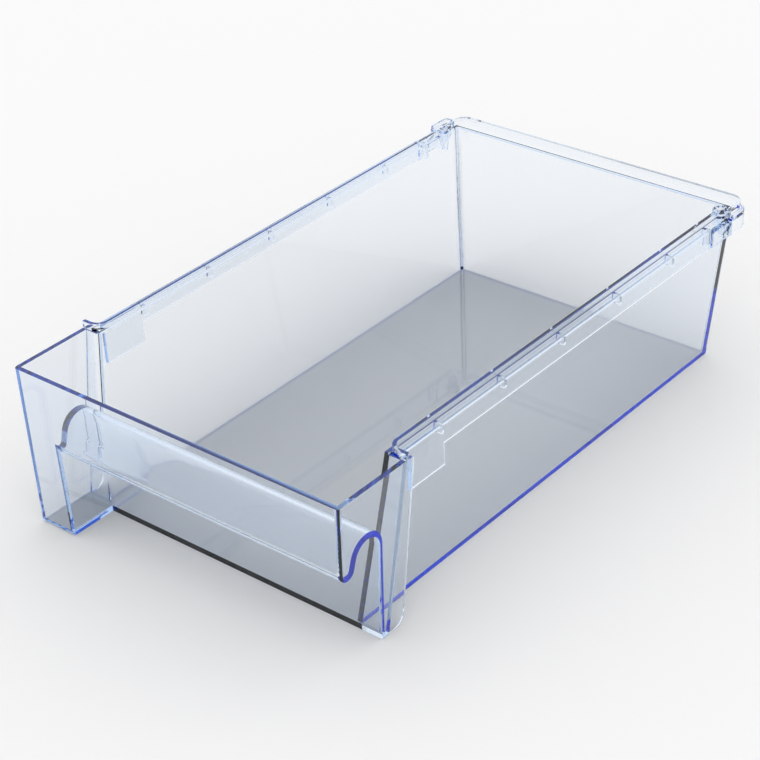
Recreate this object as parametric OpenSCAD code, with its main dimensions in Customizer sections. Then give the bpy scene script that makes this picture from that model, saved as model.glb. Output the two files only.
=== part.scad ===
// Freezer drawer: one injection moulding in clear tinted plastic.
// Millimetres, +Z up. The front faces -Y, and the finger recess opens through the right side.
// The origin is the bottom centre of the whole drawer.

/* [Overall] */
// Length from the front face to the rear edge of the back flange
overall_d = 426.7; // [380:0.1:480]
// Height of the front panel and of both wings
front_h = 109.8; // [90:0.1:130]
// Height of the rim round the bin
rim_h = 114.5; // [95:0.1:135]
// Half width across the wings at their top edge
wing_half_w = 126.75; // [110:0.05:150]
// Inward lean of the wing sides, mm for each mm of height
wing_lean = 0.033; // [0:0.001:0.06]

/* [Walls] */
// Thickness of the front panel, wings and grip sheet
front_t = 3.2; // [2.4:0.1:4]
// Thickness of the bin walls and rim
bin_t = 2.5; // [2:0.1:3.5]
// Thickness of the floor
floor_t = 2.6; // [2:0.1:4]

/* [Bin] */
// Half width of the bin at the floor
bin_half_w = 104.85; // [90:0.05:112]
// Half width of the bin under its rails
bin_top_half_w = 114.7; // [100:0.05:120]
// Rear face of the bin at the floor
bin_back_y = 405; // [370:0.5:430]
// Rear face of the bin under its flange
bin_back_top_y = 416; // [380:0.5:440]
// Corner radius of the two rear corners
bin_corner_r = 6; // [2:0.5:15]

/* [Finger recess] */
// Front face of the recess back wall
recess_d = 33.9; // [26:0.1:45]
// Outer radius of the rounded lip
lip_r = 5.8; // [4:0.1:9]
// Height of the lowest point of the lip
lip_z = 59.1; // [45:0.1:75]
// Radius of the vault over the fingers
vault_r = 10.5; // [8:0.1:14]
// Height of the centre of the vault
vault_z = 66.6; // [52:0.1:80]
// Inner end of the left leg, where the recess stops
leg_x = -94; // [-110:0.5:-60]
// Slope of the leg end, mm for each mm of height
leg_lean = 0.05; // [0:0.005:0.1]
// Radius of the rear foot of each wing flap
foot_r = 8; // [3:0.5:12]
// Radius along the bottom edges of leg and wing
sole_r = 3; // [1:0.5:5]
// Radius of the upright front corners
front_corner_r = 2.5; // [1:0.5:5]

/* [Step behind the front] */
// Rear face of the step panel at the top of the front
step_y = 60; // [50:0.5:80]
// Rear face of the step panel at the floor
step_foot_y = 41; // [38:0.5:60]
// Rear edge of the wing flap at its top
flap_y = 65; // [58:0.5:90]
// Rear edge of the wing flap at the floor
flap_foot_y = 52.5; // [45:0.5:70]
// Plan radius where the rim turns from the step into the side
rim_turn_r = 7; // [3:0.5:10]

/* [Side rails] */
// Height of the flange top
flange_z = 111; // [90:0.1:130]
// Thickness of flange and skirt
rail_t = 2.5; // [1.8:0.1:3.5]
// Half width across the skirts
rail_half_w = 121; // [112:0.1:130]
// Lower edge of the skirt
skirt_z = 97.6; // [80:0.1:108]
// First rib under the flange
rib_y = 98.5; // [80:0.5:120]
// Distance between ribs
rib_pitch = 59.3; // [40:0.1:80]
// Number of ribs on each side
rib_count = 5; // [2:1:8]
// Thickness of a rib
rib_t = 2; // [1:0.1:3]
// How far a rib hangs under the flange
rib_drop = 5; // [2:0.5:12]
// Lower edge of the deep plate at the front of each skirt
plate_z = 83; // [70:0.5:95]

/* [Stops at the rear] */
// Front face of the end block
block_y = 378; // [360:0.5:390]
// Rear face of the end block
block_back_y = 400; // [395:0.5:405]
// Half width across the end blocks
block_half_w = 122.8; // [121:0.1:127]
// Lower edge of the end blocks
block_z = 98.5; // [90:0.1:105]
// Radius along the upper edge of the end blocks
block_r = 3; // [1:0.5:5]
// Half width across the stop ears
ear_half_w = 124.6; // [121:0.1:130]
// Rear face of the stop ears
ear_back_y = 416.5; // [408:0.5:422]
// Lower edge of the stop ears
ear_z = 100; // [90:0.5:106]
// Plan radius of the stop ears
ear_r = 4; // [1:0.5:6]
// Radius of the round boss that the rim passes round
boss_r = 3; // [2:0.1:5]
// Centre of the boss, from the drawer's middle line
boss_x = 114.5; // [110:0.1:120]
// Centre of the boss along the drawer
boss_y = 401; // [390:0.5:410]

/* [Back flange] */
// Half width of the back flange, outside its rim
back_half_w = 118.5; // [112:0.1:124]
// Height of the rim that stands on the back flange
back_rim_h = 113.2; // [111.5:0.1:118]
// Plan radius of the corners of the back flange
back_corner_r = 10; // [5:0.5:16]

/* [Hidden] */
$fn = 96;
eps = 0.01;
reach = 400;
vault_y = recess_d - vault_r;
lip_c = [lip_r, lip_z + lip_r];
vault_c = [vault_y, vault_z];
gap = norm(vault_c - lip_c);
tilt = atan2(vault_c[1] - lip_c[1], vault_c[0] - lip_c[0]) - acos((lip_r + vault_r) / gap);
turn = [cos(tilt), sin(tilt)];
lip_in_r = lip_r - front_t;
vault_out_r = vault_r + front_t;
step_slope = (step_y - step_foot_y) / front_h;
flap_slope = (flap_y - flap_foot_y) / front_h;
side_slope = (bin_top_half_w - bin_half_w) / flange_z;
back_slope = (bin_back_top_y - bin_back_y) / flange_z;
wing_foot = wing_half_w - wing_lean * front_h;
flange_under = flange_z - rail_t;
heel_r = 6;
hook_r = 9;
rim_side = bin_top_half_w - bin_t;
rim_front_y = step_y - bin_t;

drawer_blue = [0.80, 0.88, 0.96, 0.55];

// ---- placing profiles: YZ profiles run along X, XZ profiles run along Y ----

module along_x(x0, x1) {
    translate([x0, 0, 0])
        rotate([90, 0, 90])
            linear_extrude(height = x1 - x0)
                children();
}

module along_y(y0, y1) {
    translate([0, y1, 0])
        rotate([90, 0, 0])
            linear_extrude(height = y1 - y0)
                children();
}

module both_sides() {
    children();
    mirror([1, 0, 0])
        children();
}

// ---- finger recess: lip, tangent flank and vault ----

// Everything under the grip sheet, seen from the side
module recess_profile() {
    difference() {
        union() {
            translate(vault_c)
                circle(r = vault_r);
            polygon([
                [-5, -5], [recess_d, -5], [recess_d, vault_z], vault_c,
                vault_c - vault_r * turn, lip_c + lip_r * turn, lip_c, [-5, lip_c[1]]
            ]);
        }
        translate(lip_c)
            circle(r = lip_r);
    }
}

// Everything over the grip sheet, behind the front panel and before the step panel
module trough_profile(z_top) {
    difference() {
        union() {
            polygon([
                [front_t, lip_c[1]], [front_t, z_top],
                [step_foot_y + step_slope * z_top - front_t, z_top],
                [step_foot_y + step_slope * floor_t - front_t, floor_t],
                [recess_d + front_t, floor_t], [recess_d + front_t, vault_z], vault_c,
                vault_c - vault_out_r * turn, lip_c + lip_in_r * turn, lip_c
            ]);
            translate(lip_c)
                circle(r = lip_in_r);
        }
        translate(vault_c)
            circle(r = vault_out_r);
    }
}

// ---- front: panel, wings and leg ----

// Slab between the two leaning wing sides, its faces moved inward by d
module wing_slab(d) {
    along_y(-20, reach + 60)
        polygon([
            [-(wing_foot - d) + wing_lean * 20, -20], [wing_foot - d - wing_lean * 20, -20],
            [wing_foot - d + wing_lean * 160, 160], [-(wing_foot - d) - wing_lean * 160, 160]
        ]);
}

// Side profile of the front block as far as the rear face of the step panel
module front_profile() {
    polygon([
        [0, 0], [step_foot_y, 0],
        [step_foot_y + step_slope * front_h, front_h], [0, front_h]
    ]);
}

// Side panel of a wing with its free rear edge and rounded foot
module flap_profile() {
    difference() {
        polygon([
            [recess_d, 0], [flap_foot_y, 0],
            [flap_foot_y + flap_slope * (front_h - 1), front_h - 1],
            [flap_foot_y + flap_slope * (front_h - 1) - 1.5, front_h], [recess_d, front_h]
        ]);
        difference() {
            translate([flap_foot_y - foot_r, -1])
                square([foot_r + 3, foot_r + 1]);
            translate([flap_foot_y - foot_r + 0.5, foot_r])
                circle(r = foot_r);
        }
    }
}

module flaps() {
    difference() {
        intersection() {
            wing_slab(0);
            along_x(-reach / 2, reach / 2)
                flap_profile();
        }
        wing_slab(front_t - 0.4);
        both_sides()
            along_y(-10, step_y + 20)
                translate([-wing_foot, 0])
                    corner_profile(1);
    }
}

// What the radius r takes off an outside corner at the origin, for material in +x, +y
module corner_profile(r) {
    difference() {
        translate([-5, -5])
            square(r + 5);
        translate([r, r])
            circle(r = r);
    }
}

// Upright front corners, following the lean of the wings
module front_corner_cut() {
    multmatrix([
        [1, 0, -wing_lean, -wing_foot],
        [0, 1, 0, 0],
        [0, 0, 1, 0],
        [0, 0, 0, 1]
    ])
        translate([wing_lean * 5, 0, -5])
            linear_extrude(height = 160)
                corner_profile(front_corner_r);
}

// Bottom edges of leg and wing, and the front bottom edge of the leg
module sole_cuts() {
    both_sides()
        along_y(-10, step_y)
            translate([-wing_foot, 0])
                corner_profile(sole_r);
    along_x(-wing_half_w - 5, leg_x)
        corner_profile(sole_r);
}

module leg_end(x_low) {
    along_y(-20, reach / 2)
        polygon([
            [x_low - leg_lean * -20, -20], [reach / 2, -20],
            [reach / 2, 160], [x_low - leg_lean * 160, 160]
        ]);
}

module recess() {
    intersection() {
        along_x(-reach / 2, reach / 2)
            recess_profile();
        leg_end(leg_x);
    }
}

module front_outside() {
    difference() {
        intersection() {
            wing_slab(0);
            along_x(-reach / 2, reach / 2)
                front_profile();
        }
        recess();
        both_sides()
            front_corner_cut();
        sole_cuts();
    }
}

module front_inside() {
    intersection() {
        wing_slab(front_t);
        union() {
            along_x(-reach / 2, reach / 2)
                trough_profile(rim_h + 5);
            difference() {
                along_x(-reach / 2, 0)
                    polygon([
                        [front_t, floor_t], [recess_d + front_t + 1, floor_t],
                        [recess_d + front_t + 1, front_h], [front_t, front_h]
                    ]);
                leg_end(leg_x - front_t);
            }
        }
    }
}

// ---- bin ----

// Drafted box, its walls moved inward by d and its floor raised by f
module bin_box(d, f, y_front, z_top) {
    difference() {
        intersection() {
            along_y(y_front, reach + 60)
                polygon([
                    [-(bin_half_w - d + side_slope * f), f], [bin_half_w - d + side_slope * f, f],
                    [bin_half_w - d + side_slope * z_top, z_top], [-(bin_half_w - d + side_slope * z_top), z_top]
                ]);
            along_x(-reach / 2, reach / 2)
                polygon([
                    [y_front, f], [bin_back_y - d + back_slope * f, f],
                    [bin_back_y - d + back_slope * z_top, z_top], [y_front, z_top]
                ]);
        }
        both_sides()
            corner_cut(d);
    }
}

// What the rear corner radius takes off, along the leaning corner line
module corner_cut(d) {
    r = bin_corner_r - d;
    multmatrix([
        [1, 0, side_slope, bin_half_w - d],
        [0, 1, back_slope, bin_back_y - d],
        [0, 0, 1, -10],
        [0, 0, 0, 1]
    ])
        translate([side_slope * -10, back_slope * -10, 0])
            linear_extrude(height = 160)
                difference() {
                    translate([-r, -r])
                        square(r + 5);
                    translate([-r, -r])
                        circle(r = r);
                }
}

// ---- rim, in plan: w is how far the outline stands outside the opening ----

// The opening over the bin: a strip with flared front corners, passing round the bosses
module opening_plan(w) {
    side = rim_side + w;
    front_y = rim_front_y + w;
    turn_r = rim_turn_r + bin_t - w;
    difference() {
        union() {
            translate([-reach / 2, front_y - 20])
                square([reach, 20]);
            translate([-side - turn_r, front_y - 1])
                square([2 * (side + turn_r), turn_r + 1]);
            translate([-side, front_y])
                square([2 * side, bin_back_top_y - 5 - front_y]);
        }
        both_sides() {
            translate([side + turn_r, front_y + turn_r])
                circle(r = turn_r);
            translate([boss_x, boss_y])
                circle(r = boss_r + bin_t - w);
        }
    }
}

// The wider pocket over the back flange, with round rear corners
module back_plan(w) {
    half = back_half_w - bin_t + w;
    y_far = overall_d - bin_t + w;
    y_near = boss_y + boss_r + bin_t + 1 - w;
    r = back_corner_r - bin_t + w;
    translate([-half, y_near])
        square([2 * half, y_far - r - y_near]);
    translate([-half + r, y_near])
        square([2 * (half - r), y_far - y_near]);
    both_sides()
        translate([half - r, y_far - r])
            circle(r = r);
}

// Side rims, full height, from the step to the bosses
module side_rims() {
    intersection() {
        wing_slab(0);
        translate([0, 0, flange_under])
            linear_extrude(height = rim_h - flange_under)
                difference() {
                    opening_plan(bin_t);
                    opening_plan(0);
                    back_plan(0);
                    translate([-reach / 2, 0])
                        square([reach, rim_front_y]);
                }
    }
}

// Low rim along the outer edge of the back flange
module back_rim() {
    translate([0, 0, flange_under])
        linear_extrude(height = back_rim_h - flange_under)
            difference() {
                back_plan(bin_t);
                back_plan(0);
                opening_plan(0);
            }
}

// Cone under the place where the rim passes over the bin wall
module boss_corbel() {
    translate([boss_x, boss_y, flange_under - 12])
        cylinder(r1 = 1, r2 = boss_r + bin_t, h = 12);
}

// ---- rails ----

module rail() {
    span = rail_half_w - rim_side;
    translate([rim_side, step_y - 1, flange_under])
        cube([span, block_y + 3 - step_y, rail_t]);
    translate([rail_half_w - rail_t, flap_y + 1, skirt_z])
        cube([rail_t, block_y + 2 - flap_y, flange_z - skirt_z - 0.5]);
    translate([rail_half_w - rail_t, flap_y + 1, plate_z])
        cube([rail_t, rib_y - flap_y - 1, skirt_z - plate_z + 1]);
    for (i = [0 : rib_count - 1])
        translate([rim_side, rib_y + i * rib_pitch - rib_t / 2, flange_under - rib_drop])
            cube([span - 1, rib_t, rib_drop + 1]);
}

// Hollow block, open below, with a rounded upper edge
module end_block() {
    length = block_back_y - block_y;
    difference() {
        along_y(block_y, block_back_y) {
            translate([rim_side - 6, block_z])
                square([block_half_w - rim_side + 6, flange_z - block_r - block_z]);
            translate([rim_side - 6, block_z])
                square([block_half_w - block_r - rim_side + 6, flange_z - block_z]);
            translate([block_half_w - block_r, flange_z - block_r])
                circle(r = block_r);
        }
        translate([rim_side - 20, block_y + rail_t, block_z - 1])
            cube([block_half_w - rail_t - rim_side + 20, length - 2 * rail_t, flange_under - block_z + 1]);
    }
}

// Plan of a stop ear, its faces moved inward by d
module ear_plan(d) {
    r = ear_r - d;
    x_far = ear_half_w - d;
    y_far = ear_back_y - d;
    y_near = block_back_y - hook_r;
    translate([rim_side, y_near])
        square([x_far - rim_side, y_far - r - y_near]);
    translate([rim_side, y_near])
        square([x_far - r - rim_side, y_far - y_near]);
    translate([x_far - r, y_far - r])
        circle(r = r);
}

// Side outline of an ear: a hollow front edge and a round heel
module ear_profile() {
    y_near = block_back_y - hook_r;
    difference() {
        union() {
            translate([y_near, ear_z])
                square([ear_back_y - heel_r - y_near, back_rim_h - ear_z]);
            translate([y_near, ear_z + heel_r])
                square([ear_back_y - y_near, back_rim_h - ear_z - heel_r]);
            translate([ear_back_y - heel_r, ear_z + heel_r])
                circle(r = heel_r);
        }
        translate([y_near, back_rim_h])
            circle(r = hook_r);
    }
}

module stop_ear() {
    intersection() {
        translate([0, 0, ear_z - 1])
            linear_extrude(height = back_rim_h - ear_z + 1)
                difference() {
                    ear_plan(0);
                    ear_plan(rail_t - 0.5);
                    square([back_half_w - 1.5, reach * 2]);
                }
        along_x(rim_side, ear_half_w)
            ear_profile();
    }
    translate([0, 0, flange_under])
        linear_extrude(height = rail_t)
            difference() {
                ear_plan(0);
                square([reach, block_back_y - 1]);
            }
}

// Flange behind the bin, carried forward on each side to the end blocks
module back_flange() {
    translate([0, 0, flange_under])
        linear_extrude(height = rail_t) {
            back_plan(bin_t);
            translate([-back_half_w, block_back_y - 3])
                square([2 * back_half_w, 15]);
        }
}

module boss() {
    translate([boss_x, boss_y, flange_under])
        cylinder(r = boss_r + 0.5, h = rail_t + 1.5);
}

// ---- the whole moulding ----

module drawer() {
    color(drawer_blue)
        translate([0, -overall_d / 2, 0]) {
            difference() {
                union() {
                    front_outside();
                    bin_box(0, 0, recess_d, flange_z - eps);
                    back_flange();
                    both_sides() {
                        rail();
                        end_block();
                        stop_ear();
                    }
                }
                front_inside();
                bin_box(bin_t, floor_t, recess_d + front_t, rim_h + 5);
            }
            flaps();
            side_rims();
            back_rim();
            both_sides() {
                boss();
                boss_corbel();
            }
        }
}

drawer();
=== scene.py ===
# Freezer drawer in clear tinted plastic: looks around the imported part
import math
import bpy
import numpy as np
from mathutils import Matrix, Vector

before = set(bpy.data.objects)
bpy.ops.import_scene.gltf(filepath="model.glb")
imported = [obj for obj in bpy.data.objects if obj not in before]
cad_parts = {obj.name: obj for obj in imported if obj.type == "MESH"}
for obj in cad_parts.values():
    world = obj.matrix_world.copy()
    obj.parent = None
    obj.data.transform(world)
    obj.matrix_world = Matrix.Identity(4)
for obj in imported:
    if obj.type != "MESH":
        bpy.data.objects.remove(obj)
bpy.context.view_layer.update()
print("frame loaded")

scene = bpy.context.scene
scene.view_settings.view_transform = "Standard"


# ---- camera: fitted to the drawer's straight edges ----
cameraSpec = {
    "place": (0.747063, -0.887590, 0.752052),  # metres, in the drawer's frame
    "azimuth": 40.991,  # degrees, 0 looks along +Y
    "elevation": 31.567,
    "roll": -3.137,
    "lens": 100.268,  # mm on a 36 mm sensor
}


def makeCamera(spec):
    az, el, roll = (math.radians(spec[k]) for k in ("azimuth", "elevation", "roll"))
    forward = Vector((-math.sin(az) * math.cos(el), math.cos(az) * math.cos(el), -math.sin(el)))
    right = Vector((math.cos(az), math.sin(az), 0))
    up = right.cross(forward)
    rightRolled = right * math.cos(roll) + up * math.sin(roll)
    upRolled = -right * math.sin(roll) + up * math.cos(roll)
    turn = Matrix((rightRolled, upRolled, -forward)).transposed()
    data = bpy.data.cameras.new("camera")
    data.sensor_width = 36
    data.lens = spec["lens"]
    data.clip_start, data.clip_end = 0.05, 20
    cam = bpy.data.objects.new("camera", data)
    cam.matrix_world = Matrix.Translation(spec["place"]) @ turn.to_4x4()
    scene.collection.objects.link(cam)
    scene.camera = cam


makeCamera(cameraSpec)
print("camera set")


# ---- shader helper: a wrapped socket that adds its own Math nodes ----
class Wire:
    def __init__(self, tree, socket):
        self.tree, self.socket = tree, socket

    def math(self, operation, other, swap=False):
        node = self.tree.nodes.new("ShaderNodeMath")
        node.operation = operation
        first, second = (other, self) if swap else (self, other)
        for slot, value in zip(node.inputs, (first, second)):
            if isinstance(value, Wire):
                self.tree.links.new(value.socket, slot)
            else:
                slot.default_value = value
        return Wire(self.tree, node.outputs[0])

    def __add__(self, other): return self.math("ADD", other)
    def __radd__(self, other): return self.math("ADD", other, True)
    def __sub__(self, other): return self.math("SUBTRACT", other)
    def __rsub__(self, other): return self.math("SUBTRACT", other, True)
    def __mul__(self, other): return self.math("MULTIPLY", other)
    def __rmul__(self, other): return self.math("MULTIPLY", other, True)


class Finish:
    def __init__(self, material):
        material.use_nodes = True
        self.tree = material.node_tree
        self.tree.nodes.clear()

    def node(self, kind, settings=None, **sockets):
        made = self.tree.nodes.new(kind)
        for key, value in (settings or {}).items():
            setattr(made, key, value)
        for key, value in sockets.items():
            slot = made.inputs[key.replace("_", " ")]
            if isinstance(value, Wire):
                self.tree.links.new(value.socket, slot)
            else:
                slot.default_value = value
        return made

    def wire(self, node, output=0):
        return Wire(self.tree, node.outputs[output])


# ---- clear plastic ----
plasticSpec = {
    "ior": 1.57,
    "roughness": 0.0,
    "absorbed": (0.04, 0.44, 0.92, 1),  # what passes at full density
    "density": 24,  # per metre
}


def clearPlastic(spec):
    material = bpy.data.materials.new("clearPlastic")
    finish = Finish(material)
    shell = finish.node(
        "ShaderNodeBsdfPrincipled", None,
        Base_Color=(1, 1, 1, 1), Roughness=spec["roughness"], IOR=spec["ior"], Transmission_Weight=1.0,
    )
    body = finish.node("ShaderNodeVolumeAbsorption", None, Color=spec["absorbed"], Density=spec["density"])
    out = finish.node("ShaderNodeOutputMaterial")
    finish.tree.links.new(shell.outputs[0], out.inputs["Surface"])
    finish.tree.links.new(body.outputs[0], out.inputs["Volume"])
    return material


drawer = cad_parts["drawer"]
drawer.data.materials.clear()
drawer.data.materials.append(clearPlastic(plasticSpec))
print("drawer dressed")


# ---- floor and light ----
studioSpec = {"floorSide": 12.0, "floorColor": (0.96, 0.96, 0.96, 1), "skyStrength": 1.0}


def makeFloor(spec):
    half = spec["floorSide"] / 2
    mesh = bpy.data.meshes.new("floor")
    corners = np.array([[-half, -half, 0], [half, -half, 0], [half, half, 0], [-half, half, 0]])
    mesh.from_pydata((corners - [0, 0, 0.0002]).tolist(), [], [(0, 1, 2, 3)])
    floor = bpy.data.objects.new("floor", mesh)
    scene.collection.objects.link(floor)
    material = bpy.data.materials.new("paleFloor")
    finish = Finish(material)
    matt = finish.node("ShaderNodeBsdfDiffuse", None, Color=spec["floorColor"])
    out = finish.node("ShaderNodeOutputMaterial")
    finish.tree.links.new(matt.outputs[0], out.inputs["Surface"])
    mesh.materials.append(material)


def makeSky(spec):
    world = bpy.data.worlds.new("studio")
    world.use_nodes = True
    back = world.node_tree.nodes["Background"]
    back.inputs["Color"].default_value = (1, 1, 1, 1)
    back.inputs["Strength"].default_value = spec["skyStrength"]
    scene.world = world


makeFloor(studioSpec)
makeSky(studioSpec)
print("studio set")

lightPaths = {"max_bounces": 48, "transmission_bounces": 48, "glossy_bounces": 48, "diffuse_bounces": 4, "transparent_max_bounces": 16}
for key, value in lightPaths.items():
    setattr(scene.cycles, key, value)
scene.cycles.caustics_refractive = True
scene.cycles.caustics_reflective = True
